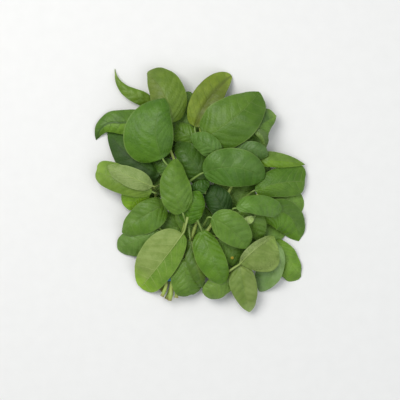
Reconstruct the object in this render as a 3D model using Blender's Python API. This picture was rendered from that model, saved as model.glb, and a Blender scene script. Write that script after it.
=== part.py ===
"""A bunch of cut sweet basil, tied near its cut ends and lying on a table.

Six stems are gathered by a blue elastic band and fan out under a pile of leaves. A leaf's
stalk and blade are one closed solid. The leaves are laid down one after another, lowest
first, and each one comes to rest on what already lies under it, bending a little to fit.

The layout is written in millimetres and scaled to metres at the end. +Z is up, the table is
z = 0, the cut ends point to -Y, and the origin is under the middle of the bunch.
"""

from dataclasses import dataclass

import bpy
import numpy as np

METRES_PER_MM = 0.001
UP = np.array([0.0, 0.0, 1.0])

# Clearances and the height map that keeps the pieces apart
GAP = 0.5
CELL = 0.5
MAP_HALF_SIZE = 100.0
SAMPLE_SPACING = 0.4
BENDING_ROUNDS = 7
BEND_REACH = 5.0

# A leaf's solid: rings of eight points along a stalk and a blade
STALK_STATIONS = (0.0, 0.4, 0.8)
STALK_RADII = (1.15, 0.9, 0.8)
STALK_END = 0.5
SPINE_SAMPLES = 41
BLADE_STATIONS = (0.03, 0.13, 0.28, 0.45, 0.63, 0.80, 0.93)
BASE_POWER = 0.45
BLADE_THICKNESS = 0.6
MIDRIB_DEPTH = 0.5
EDGE_POWER = 1.7
BLADE_STIFFNESS = 0.35
DEEPEST_STALK = 16.0
ACROSS = np.array([1.0, 0.5, 0.0, -0.5, -1.0, -0.5, 0.0, 0.5])
UNDER = np.array([0.5, 0.0, 0.0, 0.0, 0.5, 1.0, 1.0, 1.0])
RIDGE = np.array([0.0, 0.0, 0.0, 0.0, 0.0, 0.0, 1.0, 0.0])

# The stems and the band that gathers them
STEM_RADIUS = 1.6
STEM_TIP_RADIUS = 1.0
STEM_SIDES = 6
STEM_RING_SPACING = 8.0
STEM_STIFFNESS = 0.5
STEM_RISE = 7.0
STEM_RISE_RUN = 110.0
CUT_END_CROWN = 0.2
STEM_TIP_CROWN = 0.5
ROW_PITCH = 4.0
BAND_THICKNESS = 0.8
BAND_WIDTH = 4.5
BAND_CLEARANCE = 0.4
BAND_CORNER_STEPS = 5
TIE_X = -20.0
TIE_Y = -62.0
LOW_ROW = BAND_THICKNESS + BAND_CLEARANCE + STEM_RADIUS
HIGH_ROW = LOW_ROW + ROW_PITCH

COLOURS = {
    "leaf_green": ((0.11, 0.21, 0.04), 0.5),
    "leaf_underside": ((0.26, 0.35, 0.11), 0.6),
    "leaf_young": ((0.22, 0.33, 0.05), 0.5),
    "stem_green": ((0.30, 0.36, 0.09), 0.5),
    "band_blue": ((0.03, 0.12, 0.25), 0.5),
}


@dataclass
class Leaf:
    """One leaf as it lies, seen from above.

    foot is where its stalk leaves the stem, spine the points of its midrib from the blade's
    base to its tip, and halves the widths of its two halves, left of the midrib first.
    arch, droop and cup are shares of the length or of a half's width: how high the midrib
    bows, how far the tip hangs below the base, and how far the edges hang below the midrib.
    A fold above 0 lifts both edges into a boat. Low tapers make a blunt tip. give is how
    far, in mm, the blade bends to fit what lies under it.
    """

    name: str
    foot: tuple
    spine: tuple
    halves: tuple
    arch: float = 0.15
    droop: float = 0.12
    cup: float = 0.28
    fold: float = 0.0
    roll: float = 0.0
    tapers: tuple = (0.6, 0.6)
    give: float = 4.0


# Leaves on the underside, against the table. They fill the bunch and carry the rest.
UNDERSIDE_LEAVES = (
    Leaf("under_leaf_centre", (0, -9), ((5, -9), (21, -6), (39, -5)), (13, 12)),
    Leaf("under_leaf_lower_left", (-10, -23), ((-12, -25), (-27, -28), (-45, -26)), (12, 12)),
    Leaf("under_leaf_lower_right", (8, -33), ((12, -33), (33, -35), (60, -31.5)), (12, 12),
         tapers=(0.45, 0.9)),
    Leaf("under_leaf_front", (-9, -26), ((-9, -30), (-5, -45), (4, -62)), (10, 10)),
    Leaf("under_leaf_middle", (9, -40), ((6, -37), (-3, -23), (-18, -9)), (12, 12)),
    Leaf("under_leaf_left", (-14, 13), ((-19, 12), (-35, 8), (-55, 9)), (15, 14)),
    Leaf("under_leaf_top", (1, 27), ((-3, 31), (-8, 46), (-7, 68)), (13, 10),
         tapers=(0.5, 0.5)),
    Leaf("under_leaf_top_right", (24, 22), ((25, 26), (36, 38), (43, 54)), (12, 11)),
    Leaf("under_leaf_right", (33, -12), ((37, -11), (53, -11), (72.5, -9)), (11, 13),
         tapers=(0.3, 0.5)),
    Leaf("under_leaf_right_small", (14, 15), ((18, 15), (33, 13), (50, 11)), (12, 14)),
    Leaf("under_leaf_top_left", (-14, 22), ((-18, 26), (-34, 34), (-51, 42)), (12, 12)),
    Leaf("under_leaf_front_right", (7, -40), ((10, -43), (19, -54), (29, -70)), (11, 10)),
)

# Leaves of the pile over the stems, in the order in which they lie, lowest first.
PILED_LEAVES = (
    # the deep ones, seen in part
    Leaf("leaf_top_right_behind", (31, 36), ((34, 38), (43, 45), (53, 51)), (11, 7.5),
         tapers=(0.5, 0.8)),
    Leaf("young_leaf_top_right", (32, 43), ((37, 41), (44, 35), (44, 27)), (3, 3)),
    Leaf("leaf_dark_left", (-16, 10), ((-28, 10), (-45, 20), (-65, 41)), (13, 11),
         tapers=(0.95, 0.6)),
    Leaf("leaf_bright_low_left", (-30, -1), ((-36, -2), (-45, -7), (-49, -15)), (8, 12)),
    Leaf("leaf_bright_left", (-26, -4), ((-34, -2), (-53, 5), (-73, 12)), (9, 10.5),
         tapers=(0.35, 0.2)),
    Leaf("leaf_lower_left_under", (-24, -33), ((-30, -27), (-42, -34), (-58, -42)), (12, 10),
         tapers=(0.6, 0.5)),
    Leaf("leaf_by_cut_ends", (-14, -39), ((-12, -48), (-10, -61), (-7, -74)), (12, 11),
         tapers=(0.4, 0.3)),
    Leaf("leaf_far_right_low", (45, -35), ((51, -37), (61, -49), (70, -62)), (7.5, 11),
         tapers=(0.7, 0.3)),
    Leaf("leaf_blue_green_right", (41, -31), ((47, -35), (52, -51), (41, -71.5)), (7, 12.5),
         tapers=(0.6, 0.4)),
    Leaf("leaf_right_hanging", (35, -15), ((41, -18), (59, -17), (69, -36.5)), (9.3, 13),
         tapers=(0.6, 0.45)),
    Leaf("leaf_right_flat", (31, -6), ((38, -1), (55, 4), (73, 5)), (12, 10),
         tapers=(0.14, 0.25)),
    Leaf("leaf_right_pointed", (30, 20), ((38, 20), (56, 19.5), (73, 17)), (6, 5),
         tapers=(0.9, 0.8)),
    Leaf("leaf_grey_right", (21, 20), ((23, 23), (35, 27), (47, 24)), (6, 8),
         tapers=(0.5, 0.5)),
    Leaf("leaf_shaded_front", (9, -33), ((13, -34), (22, -43), (29, -54)), (9, 9)),
    Leaf("leaf_shaded_centre", (9, -24), ((17, -19), (13, -9), (3, 1)), (9, 9)),
    Leaf("leaf_top_centre_small", (2, 29), ((-2, 32), (-12, 39), (-23, 46)), (8, 7)),
    Leaf("leaf_dark_centre", (3, -3), ((4, 3), (-4, 17), (-17, 32)), (10, 10)),
    Leaf("leaf_small_left", (-14, 8), ((-18, 11), (-25, 16), (-33, 20)), (6, 6)),
    Leaf("leaf_small_centre", (-12, -6), ((-8, -4), (-2, 0), (6, 5)), (5, 5)),
    # the middle of the pile
    Leaf("leaf_curled_far_left", (-25, 49),
         ((-32, 57), (-43, 64), (-51.5, 68.2), (-57, 73.8), (-60, 84)), (4.8, 5.2),
         tapers=(1.2, 1.2)),
    Leaf("leaf_broad_top", (-24, 36), ((-21, 46), (-24, 63.5), (-37.3, 81)), (11.5, 14.5),
         tapers=(0.8, 0.45)),
    Leaf("leaf_hooked_left", (-28, 44), ((-37, 46), (-53, 46), (-66, 45), (-73, 34)), (8, 9.3),
         tapers=(0.85, 0.85)),
    Leaf("young_leaf_boat_top", (-2, 34), ((-4, 43), (4, 60), (22, 79)), (11.5, 9), cup=0.0,
         fold=0.4, tapers=(0.45, 0.7)),
    Leaf("leaf_lower_left", (-14, -13), ((-24, -11), (-38, -18), (-55, -30)), (12.5, 9.5),
         tapers=(0.6, 0.8)),
    Leaf("leaf_narrow_front", (-8, -27), ((-7, -36), (-3, -53), (2, -69)), (5, 6)),
    Leaf("leaf_front_under", (31, -50), ((25, -57), (14, -65), (2, -73)), (9.5, 7),
         tapers=(0.4, 0.5)),
    Leaf("leaf_olive_front", (32, -46), ((27, -52), (30, -68), (34, -86)), (9.5, 9.5),
         tapers=(0.6, 0.8)),
    Leaf("young_leaf_centre", (-12, -30), ((-10, -24), (-6, -13), (0, -2)), (8.5, 8.5)),
    Leaf("leaf_under_light_right", (20, -15), ((26, -17), (35, -22), (40, -36)), (9, 8)),
    Leaf("young_leaf_right", (37, -13), ((37, -20), (33, -22), (28, -26)), (2.8, 2.8)),
    # the top of the pile
    Leaf("leaf_large_top_right", (-1, 27), ((2, 35), (22, 48), (41, 67.5)), (17, 17.5),
         tapers=(0.75, 0.55)),
    Leaf("leaf_sage_centre", (18, 15), ((12, 21), (5, 30), (-7, 35)), (7, 8),
         tapers=(0.5, 0.5)),
    Leaf("leaf_dome_left", (-19, 12), ((-26, 21), (-31, 41), (-25, 63)), (23, 12), cup=0.3,
         tapers=(0.85, 0.6)),
    Leaf("turned_leaf_narrow_left", (-26, 4), ((-34, 2), (-48, 8), (-65, 16)), (7, 7),
         cup=0.1, tapers=(0.6, 0.7)),
    Leaf("leaf_light_right", (21, -19), ((25, -13), (40, -11), (56, -16)), (7, 7),
         tapers=(0.45, 0.3)),
    Leaf("leaf_bright_centre_right", (2, -26), ((8, -20), (21, -28), (33, -41)), (12, 10)),
    Leaf("leaf_centre_right", (-8, 5), ((2, 11), (22, 15), (44, 7)), (13.5, 13.5),
         tapers=(0.5, 0.5)),
    Leaf("leaf_centre_left", (-10, -23), ((-12, -17), (-18, 1), (-17, 21)), (10.5, 11.5),
         tapers=(0.7, 0.7)),
    Leaf("turned_leaf_oval_right", (20, -57), ((28, -51.5), (37.5, -42), (51.5, -33.5)), (4.3, 19.5),
         cup=0.12, tapers=(0.5, 0.36)),
    Leaf("leaf_bright_front", (-2, -22), ((1, -29), (7, -46), (17, -65)), (9, 11),
         tapers=(0.45, 0.5)),
    Leaf("turned_leaf_big_front", (-9, -20), ((-12, -31), (-24, -47), (-42, -69)), (11.5, 17.5),
         cup=0.12, tapers=(0.25, 0.55)),
)


@dataclass
class Stem:
    """One stem, seen from above: its cut end, its place in the band, and its way up the bunch."""

    name: str
    cut_end: tuple
    place: int
    row: float
    way: tuple


STEMS = (
    Stem("stem_left", (-28, -71), -1, LOW_ROW,
         ((-25, -43), (-32, -18), (-32, -1), (-42, 10))),
    Stem("stem_middle", (-24, -77), 0, LOW_ROW,
         ((-7, -36), (0, -8), (3, 17), (0, 41), (-4, 55))),
    Stem("stem_front_right", (-15, -72), 1, LOW_ROW,
         ((-4, -51), (17, -51), (31, -43), (43, -37))),
    Stem("stem_top_left", (-27, -75), -1, HIGH_ROW,
         ((-14, -36), (-10, -18), (-13, 6), (-21, 27), (-28, 48))),
    Stem("stem_top_right", (-21.5, -78), 0, HIGH_ROW,
         ((0, -36), (17, -8), (28, 20), (31, 41))),
    Stem("stem_right", (-17, -76), 1, HIGH_ROW,
         ((3, -43), (24, -25), (40, -4), (47, 6))),
)


def smooth_path(points, at):
    """Places at shares `at` of the way along a smooth curve through the given points."""
    points = np.asarray(points, float)
    spans = np.linalg.norm(np.diff(points, axis=0), axis=1)
    knots = np.concatenate([[0.0], np.cumsum(spans)]) / spans.sum()
    slopes = np.gradient(points, knots, axis=0, edge_order=2)
    at = np.asarray(at, float)
    left = np.clip(np.searchsorted(knots, at, side="right") - 1, 0, len(spans) - 1)
    span = (knots[left + 1] - knots[left])[:, None]
    u = (at[:, None] - knots[left][:, None]) / span
    start = (1 + 2 * u) * (1 - u) ** 2 * points[left] + u * (1 - u) ** 2 * span * slopes[left]
    end = u**2 * (3 - 2 * u) * points[left + 1] + u**2 * (u - 1) * span * slopes[left + 1]
    return start + end


def directions(path):
    """Unit vectors along a path, one for each of its points."""
    along = np.gradient(path, axis=0)
    return along / np.linalg.norm(along, axis=1)[:, None]


def sideways(along):
    """Level unit vectors to the left of each direction."""
    left = np.column_stack([-along[:, 1], along[:, 0], np.zeros(len(along))])
    return left / np.linalg.norm(left, axis=1)[:, None]


def skin_faces(rings, sides):
    """Triangles of a closed skin over rings of points, with one point beyond each end.

    The diagonals on the second half of a ring mirror those on the first, so that the two
    sides of a thin blade bend along the same lines and never cross.
    """
    first_end = rings * sides
    last_end = first_end + 1
    faces = []
    for k in range(sides):
        after = (k + 1) % sides
        faces.append((first_end, after, k))
        faces.append((last_end, first_end - sides + k, first_end - sides + after))
        for ring in range(rings - 1):
            a, b = ring * sides + k, ring * sides + after
            if k < sides // 2:
                faces.append((a, b, b + sides))
                faces.append((a, b + sides, a + sides))
            else:
                faces.append((a, b, a + sides))
                faces.append((b, b + sides, a + sides))
    return np.array(faces)


class Pile:
    """How high the pile is, as a fine grid of heights seen from above."""

    def __init__(self):
        size = int(2 * MAP_HALF_SIZE / CELL)
        self.height = np.full((size, size), -GAP)

    def samples(self, points, faces):
        """Points spread evenly over the triangles."""
        corners = points[faces]
        edges = np.linalg.norm(corners - np.roll(corners, 1, axis=1), axis=2).max(axis=1)
        steps = np.maximum(np.ceil(edges / SAMPLE_SPACING), 1).astype(int)
        found = []
        for n in np.unique(steps):
            i, j = np.meshgrid(np.arange(n + 1), np.arange(n + 1))
            inside = i + j <= n
            weights = np.column_stack([i[inside], j[inside], n - i[inside] - j[inside]]) / n
            found.append(np.einsum("wc,tcx->twx", weights, corners[steps == n]).reshape(-1, 3))
        return np.concatenate(found)

    def cells(self, points):
        return tuple(((points[:, :2] + MAP_HALF_SIZE) / CELL).astype(int).T)

    def add(self, points, faces):
        """Raise the pile to the top of a piece that has been laid on it."""
        spread = self.samples(points, faces)
        np.maximum.at(self.height, self.cells(spread), spread[:, 2])

    def top(self):
        """The heights, each raised to the highest of its neighbours."""
        highest = self.height
        for axis in (0, 1):
            shifted = [np.roll(highest, step, axis=axis) for step in (-1, 0, 1)]
            highest = np.max(shifted, axis=0)
        return highest

    def shortfall(self, points, faces, top):
        """Where a piece is too low, cell by cell, and by how much. Below 0 is clear air."""
        spread = self.samples(points, faces)
        lowest = np.full(top.shape, np.inf)
        cells = self.cells(spread)
        np.minimum.at(lowest, cells, spread[:, 2])
        hit = np.unique(np.ravel_multi_index(cells, top.shape))
        row, column = np.unravel_index(hit, top.shape)
        need = top[row, column] + GAP - lowest[row, column]
        return (np.column_stack([row, column]) + 0.5) * CELL - MAP_HALF_SIZE, need


def bend_clear(points, faces, pile, stiffness):
    """Bend a piece upwards, and lift it at the last, until it clears what lies under it."""
    top = pile.top()
    for _ in range(BENDING_ROUNDS):
        where, need = pile.shortfall(points, faces, top)
        where, need = where[need > 0], need[need > 0]
        if len(need) == 0:
            return
        apart = np.linalg.norm(points[:, None, :2] - where[None], axis=2)
        fall = stiffness * np.maximum(apart - BEND_REACH, 0)
        points[:, 2] += np.maximum((need - fall).max(axis=1), 0)
    points[:, 2] += max(pile.shortfall(points, faces, top)[1].max(), 0)


def outline(stations, taper):
    """How wide half a blade is at shares of its length, as a share of its greatest width."""
    widest = BASE_POWER / (BASE_POWER + taper)
    greatest = widest**BASE_POWER * (1 - widest) ** taper
    return stations**BASE_POWER * (1 - stations) ** taper / greatest


def blade_rings(leaf, base_height):
    """The rings of a blade and its tip, before it settles."""
    spine = smooth_path(leaf.spine, np.linspace(0, 1, SPINE_SAMPLES))
    length = np.linalg.norm(np.diff(spine, axis=0), axis=1).sum()
    stations = np.array(BLADE_STATIONS + (1.0,))
    flat = smooth_path(leaf.spine, stations)
    bow = leaf.arch * length * 4 * stations * (1 - stations)
    hang = leaf.droop * length * stations**2
    path = np.column_stack([flat, base_height + bow - hang])
    left = sideways(directions(path))
    left_half, right_half = (
        half * outline(stations, taper) for half, taper in zip(leaf.halves, leaf.tapers)
    )
    rings = []
    for centre, side, *widths in zip(path[:-1], left, left_half, right_half):
        widths = np.where(ACROSS > 0, widths[0], widths[1])
        out = np.abs(ACROSS)
        rise = leaf.roll * ACROSS * widths
        rise += leaf.fold * widths * out - leaf.cup * widths * out**EDGE_POWER
        rise -= BLADE_THICKNESS * UNDER + MIDRIB_DEPTH * RIDGE
        rings.append(centre + side * (ACROSS * widths)[:, None] + UP * rise[:, None])
    return np.array(rings), path[-1]


def stalk_rings(leaf, ring, foot_height):
    """The rings of a stalk from the stem up to a blade's first ring, and the stalk's end."""
    base = ring[2] - UP * BLADE_THICKNESS / 2
    foot = np.array([*leaf.foot, foot_height])
    onward = np.append(np.subtract(leaf.spine[1], leaf.spine[0]), 0.0)
    reach = np.linalg.norm(base - foot)
    onward *= reach / np.linalg.norm(onward)
    t = np.array(STALK_STATIONS)[:, None]
    path = (1 + 2 * t) * (1 - t) ** 2 * foot + t * (1 - t) ** 2 * (base - foot)
    path += t**2 * (3 - 2 * t) * base + t**2 * (t - 1) * onward
    along = directions(np.vstack([path, base]))[:-1]
    left = sideways(along)
    over = np.cross(along, left)
    angles = np.arange(len(ACROSS)) * 2 * np.pi / len(ACROSS)
    rings = [
        centre + radius * (np.cos(angles)[:, None] * side + np.sin(angles)[:, None] * rise)
        for centre, radius, side, rise in zip(path, STALK_RADII, left, over)
    ]
    return np.array(rings), foot - along[0] * STALK_END


def lay_leaf(leaf, pile):
    """The points and triangles of a leaf that has come to rest on the pile."""
    sides = len(ACROSS)
    rings, tip = blade_rings(leaf, 0.0)
    blade = np.vstack([rings.reshape(-1, 3), rings[0].mean(axis=0), tip])
    blade_faces = skin_faces(len(rings), sides)
    top = pile.top()
    blade[:, 2] += pile.shortfall(blade, blade_faces, top)[1].max() - leaf.give
    bend_clear(blade, blade_faces, pile, BLADE_STIFFNESS)

    rings = blade[:-2].reshape(-1, sides, 3)
    foot_cell = pile.cells(np.array([leaf.foot], float))
    rest = top[foot_cell][0] + GAP + STALK_RADII[0]
    base_height = rings[0][2][2]
    foot_height = np.clip(rest, base_height - DEEPEST_STALK, base_height + STALK_RADII[0])
    stalk, stalk_end = stalk_rings(leaf, rings[0], foot_height)
    points = np.vstack([stalk.reshape(-1, 3), blade[:-2], stalk_end, blade[-1]])
    faces = skin_faces(len(stalk) + len(rings), sides)
    bend_clear(points, faces, pile, BLADE_STIFFNESS)
    return points, faces


def lay_stem(stem, pile):
    """The points and triangles of a stem, straight through the band and bent over the pile."""
    across = TIE_X + stem.place * ROW_PITCH
    straight = [(across, TIE_Y - BAND_WIDTH), (across, TIE_Y + BAND_WIDTH)]
    corners = np.array([stem.cut_end, *straight, *stem.way], float)
    length = np.linalg.norm(np.diff(corners, axis=0), axis=1).sum()
    share = np.linspace(0, 1, int(length / STEM_RING_SPACING) + 2)
    flat = smooth_path(corners, share)
    beyond = np.clip((flat[:, 1] - TIE_Y) / STEM_RISE_RUN, 0, 1)
    path = np.column_stack([flat, stem.row + STEM_RISE * beyond])
    radii = STEM_RADIUS + (STEM_TIP_RADIUS - STEM_RADIUS) * share
    along = directions(path)
    left = sideways(along)
    over = np.cross(along, left)
    angles = (np.arange(STEM_SIDES) + 0.5) * 2 * np.pi / STEM_SIDES
    rings = [
        centre + radius * (np.cos(angles)[:, None] * side + np.sin(angles)[:, None] * rise)
        for centre, radius, side, rise in zip(path, radii, left, over)
    ]
    ends = [path[0] - along[0] * CUT_END_CROWN, path[-1] + along[-1] * STEM_TIP_CROWN]
    points = np.vstack([*rings, *ends])
    faces = skin_faces(len(rings), STEM_SIDES)
    bend_clear(points, faces, pile, STEM_STIFFNESS)
    return points, faces


def make_band(pile):
    """The flat elastic band, a rounded loop standing round the two rows of stems."""
    half_width = ROW_PITCH + STEM_RADIUS + BAND_CLEARANCE
    reach = np.array([[half_width, BAND_WIDTH / 2], [-half_width, -BAND_WIDTH / 2]])
    (x_high, x_low), (y_high, y_low) = pile.cells(reach + (TIE_X, TIE_Y))
    gathered = pile.height[x_low:x_high, y_low:y_high].max()
    bottom, top = BAND_THICKNESS, gathered + BAND_CLEARANCE
    radius = STEM_RADIUS
    corners = ((1, top), (-1, top), (-1, bottom), (1, bottom))
    loop = []
    for quarter, (side, height) in enumerate(corners):
        centre_x = side * (half_width - radius)
        centre_z = height - radius if height == top else height + radius
        for step in range(BAND_CORNER_STEPS):
            angle = (quarter + step / (BAND_CORNER_STEPS - 1)) * np.pi / 2
            loop.append((centre_x, centre_z, np.cos(angle), np.sin(angle)))
    rings = []
    for centre_x, centre_z, out_x, out_z in loop:
        for reach in (radius, radius + BAND_THICKNESS):
            order = (-1, 1) if reach == radius else (1, -1)
            for end in order:
                rings.append((
                    TIE_X + centre_x + reach * out_x,
                    TIE_Y + end * BAND_WIDTH / 2,
                    centre_z + reach * out_z,
                ))
    faces = []
    count = len(loop)
    for ring in range(count):
        here, there = ring * 4, (ring + 1) % count * 4
        for k in range(4):
            after = (k + 1) % 4
            faces.append((here + k, here + after, there + after))
            faces.append((here + k, there + after, there + k))
    return np.array(rings), np.array(faces)


def outward(points, faces):
    """The triangles, turned over if they face into the solid."""
    a, b, c = points[faces[:, 0]], points[faces[:, 1]], points[faces[:, 2]]
    volume = np.einsum("ij,ij->i", a, np.cross(b, c)).sum()
    return faces if volume > 0 else faces[:, ::-1]


def colour_of(name):
    """Which material a piece has, by what it is."""
    for start, slot in (
        ("turned_leaf", "leaf_underside"),
        ("young_leaf", "leaf_young"),
        ("stem", "stem_green"),
        ("tie", "band_blue"),
    ):
        if name.startswith(start):
            return slot
    return "leaf_green"


def make_object(name, points, faces):
    """A Blender object with its own material, from points in millimetres."""
    mesh = bpy.data.meshes.new(name)
    mesh.from_pydata((points * METRES_PER_MM).tolist(), [], outward(points, faces).tolist())
    slot = colour_of(name)
    colour, roughness = COLOURS[slot]
    material = bpy.data.materials.new(f"{name}_{slot}")
    material.use_nodes = True
    shader = material.node_tree.nodes["Principled BSDF"]
    shader.inputs["Base Color"].default_value = (*colour, 1.0)
    shader.inputs["Roughness"].default_value = roughness
    shader.inputs["Metallic"].default_value = 0.0
    mesh.materials.append(material)
    mesh.shade_smooth()
    bpy.context.scene.collection.objects.link(bpy.data.objects.new(name, mesh))


for old in list(bpy.data.objects):
    bpy.data.objects.remove(old, do_unlink=True)

pile = Pile()
pieces = {}
for leaf in UNDERSIDE_LEAVES:
    pieces[leaf.name] = lay_leaf(leaf, pile)
    pile.add(*pieces[leaf.name])
for row in (LOW_ROW, HIGH_ROW):
    stems = [stem for stem in STEMS if stem.row == row]
    pieces.update({stem.name: lay_stem(stem, pile) for stem in stems})
    for stem in stems:
        pile.add(*pieces[stem.name])
pieces["tie_band"] = make_band(pile)
pile.add(*pieces["tie_band"])
for leaf in PILED_LEAVES:
    pieces[leaf.name] = lay_leaf(leaf, pile)
    pile.add(*pieces[leaf.name])

everything = np.vstack([points for points, _ in pieces.values()])
low, high = everything.min(axis=0), everything.max(axis=0)
origin = np.array([(low[0] + high[0]) / 2, (low[1] + high[1]) / 2, low[2]])
for name, (points, faces) in pieces.items():
    make_object(name, points - origin, faces)
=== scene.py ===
"""A tied bunch of cut sweet basil, lying on a pale table and seen from straight above.

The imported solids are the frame: every stem, leaf and the band is rebuilt on its own solid as a
fine mesh with veins, puckers and a real thickness. Lengths named _MM are in millimetres.
"""

import bpy
import numpy as np
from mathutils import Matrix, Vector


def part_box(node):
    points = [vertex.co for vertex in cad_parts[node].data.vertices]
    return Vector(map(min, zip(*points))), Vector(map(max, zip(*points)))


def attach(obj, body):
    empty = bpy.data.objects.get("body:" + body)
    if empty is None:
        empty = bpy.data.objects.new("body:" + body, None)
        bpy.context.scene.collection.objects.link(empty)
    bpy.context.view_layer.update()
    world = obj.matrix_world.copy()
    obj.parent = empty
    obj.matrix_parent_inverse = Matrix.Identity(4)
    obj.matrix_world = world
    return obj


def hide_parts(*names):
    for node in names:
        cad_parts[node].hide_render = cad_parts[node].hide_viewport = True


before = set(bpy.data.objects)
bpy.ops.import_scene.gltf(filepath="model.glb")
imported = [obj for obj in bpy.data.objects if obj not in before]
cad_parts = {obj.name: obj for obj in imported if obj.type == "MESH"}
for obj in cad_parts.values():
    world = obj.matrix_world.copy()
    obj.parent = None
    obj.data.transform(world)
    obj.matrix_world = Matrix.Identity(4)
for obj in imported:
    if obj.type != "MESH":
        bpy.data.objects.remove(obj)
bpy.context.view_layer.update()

# ---------------------------------------------------------------------------------------------
# The table, the light and the camera.
# A sheet of matt white board under two big soft lamps, as in a small product studio. The
# camera hangs straight above on a long lens, so that the bunch shows hardly any perspective.
# ---------------------------------------------------------------------------------------------

MM = 0.001
VIEW_WIDTH_MM = 280.0
LENS_MM = 250.0
AIM_MM = (0.1, -7.1)
TABLE_HALF_MM = 4000.0
BOARD_TONES = ((0.80, 0.80, 0.79), (0.84, 0.84, 0.83))
BOARD_GRAIN = 900.0
# Each lamp's name, place in millimetres, width in millimetres, power in watts and tint.
LAMPS = (
    ("key_lamp", (-420.0, 380.0, 900.0), 700.0, 8.1, (1.0, 0.985, 0.96)),
    ("fill_lamp", (520.0, -260.0, 800.0), 900.0, 2.6, (0.96, 0.98, 1.0)),
)
SKY = (0.94, 0.97, 1.0)
SKY_STRENGTH = 0.425


def add_node(tree, kind, *sources, **settings):
    """A shader node with its settings, its first inputs fed from sockets or set to values."""
    made = tree.nodes.new("ShaderNode" + kind)
    for key, value in settings.items():
        setattr(made, key, value)
    for socket, source in zip(made.inputs, sources):
        if isinstance(source, bpy.types.NodeSocket):
            tree.links.new(source, socket)
        elif source is not None:
            socket.default_value = source
    return made


def new_material(name):
    """A material with a Principled shader, and its node tree."""
    material = bpy.data.materials.new(name)
    material.use_nodes = True
    return material, material.node_tree, material.node_tree.nodes["Principled BSDF"]


def make_object(name, points, faces, materials=(), slots=None):
    """A mesh object from points in metres, its faces given their material slots."""
    mesh = bpy.data.meshes.new(name)
    mesh.from_pydata(np.asarray(points).tolist(), [], [list(face) for face in faces])
    for material in materials:
        mesh.materials.append(material)
    if slots is not None:
        mesh.polygons.foreach_set("material_index", np.asarray(slots, np.int32))
    mesh.shade_smooth()
    made = bpy.data.objects.new(name, mesh)
    bpy.context.scene.collection.objects.link(made)
    return made


table_corners = np.array([(-1, -1, 0), (1, -1, 0), (1, 1, 0), (-1, 1, 0)]) * TABLE_HALF_MM * MM
table_finish, table_tree, table_shader = new_material("matt_white_board")
grain = add_node(table_tree, "TexNoise", None, None, BOARD_GRAIN, 3.0)
board_colours = add_node(table_tree, "ValToRGB", grain.outputs["Fac"])
for stop, tone in zip(board_colours.color_ramp.elements, BOARD_TONES):
    stop.color = (*tone, 1.0)
table_tree.links.new(board_colours.outputs["Color"], table_shader.inputs["Base Color"])
table_shader.inputs["Roughness"].default_value = 0.9
table_shader.inputs["Specular IOR Level"].default_value = 0.1
table = make_object("table", table_corners, [(0, 1, 2, 3)], [table_finish])

for lamp_name, place, size, power, tint in LAMPS:
    lamp = bpy.data.lights.new(lamp_name, "AREA")
    lamp.size = size * MM
    lamp.energy = power
    lamp.color = tint
    lamp_object = bpy.data.objects.new(lamp_name, lamp)
    lamp_object.location = np.array(place) * MM
    lamp_object.rotation_mode = "QUATERNION"
    lamp_object.rotation_quaternion = (-lamp_object.location).to_track_quat("-Z", "Y")
    bpy.context.scene.collection.objects.link(lamp_object)

world = bpy.data.worlds.new("soft_sky")
world.use_nodes = True
world.node_tree.nodes["Background"].inputs["Color"].default_value = (*SKY, 1.0)
world.node_tree.nodes["Background"].inputs["Strength"].default_value = SKY_STRENGTH
bpy.context.scene.world = world
bpy.context.scene.view_settings.view_transform = "Standard"

camera_data = bpy.data.cameras.new("camera")
camera_data.lens = LENS_MM
camera_data.clip_end = 10.0
camera = bpy.data.objects.new("camera", camera_data)
camera_height = VIEW_WIDTH_MM * LENS_MM / camera_data.sensor_width
camera.location = np.array([*AIM_MM, camera_height]) * MM
bpy.context.scene.collection.objects.link(camera)
bpy.context.scene.camera = camera

# ---------------------------------------------------------------------------------------------
# The stems.
# Six young stems, square with shallow grooves down their sides and slight swellings along them.
# A knife cut them below: the cut shows pale pith in a browned rim. Their upper ends are soft and
# rounded.
# ---------------------------------------------------------------------------------------------

WELD = 1e-6
STEM_CAD_SIDES = 6
STEM_SIDES = 28
STEM_STEP_MM = 0.9
STEM_SQUARENESS = 0.07
STEM_GROOVE = 0.035
STEM_TURN = 0.4
STEM_UNEVENNESS = 0.03
UNEVEN_TURNS_PER_MM = 0.35
# The stems' share of their solids' girth, which keeps them clear of the leaves beside them.
STEM_SLIMMING = 0.84
KNOT_SPACING_MM = 27.0
KNOT_STAGGER = 0.37
KNOT_SWELLING = 0.13
KNOT_LENGTH_MM = 1.6
CUT_HOLLOW_MM = 0.25
SOFT_END_MM = 2.6
NARROWEST = 0.01
CUT_STEPS = (0.12, 0.4, 0.7, 0.9)
RIM_ANGLE = 0.9
DRIED_BROWN = (0.23, 0.13, 0.045, 1.0)
PITH_TONES = ((0.52, 0.50, 0.26, 1.0), (0.36, 0.36, 0.15, 1.0))
CUT_EDGE_BROWN = (0.20, 0.10, 0.035, 1.0)


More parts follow.
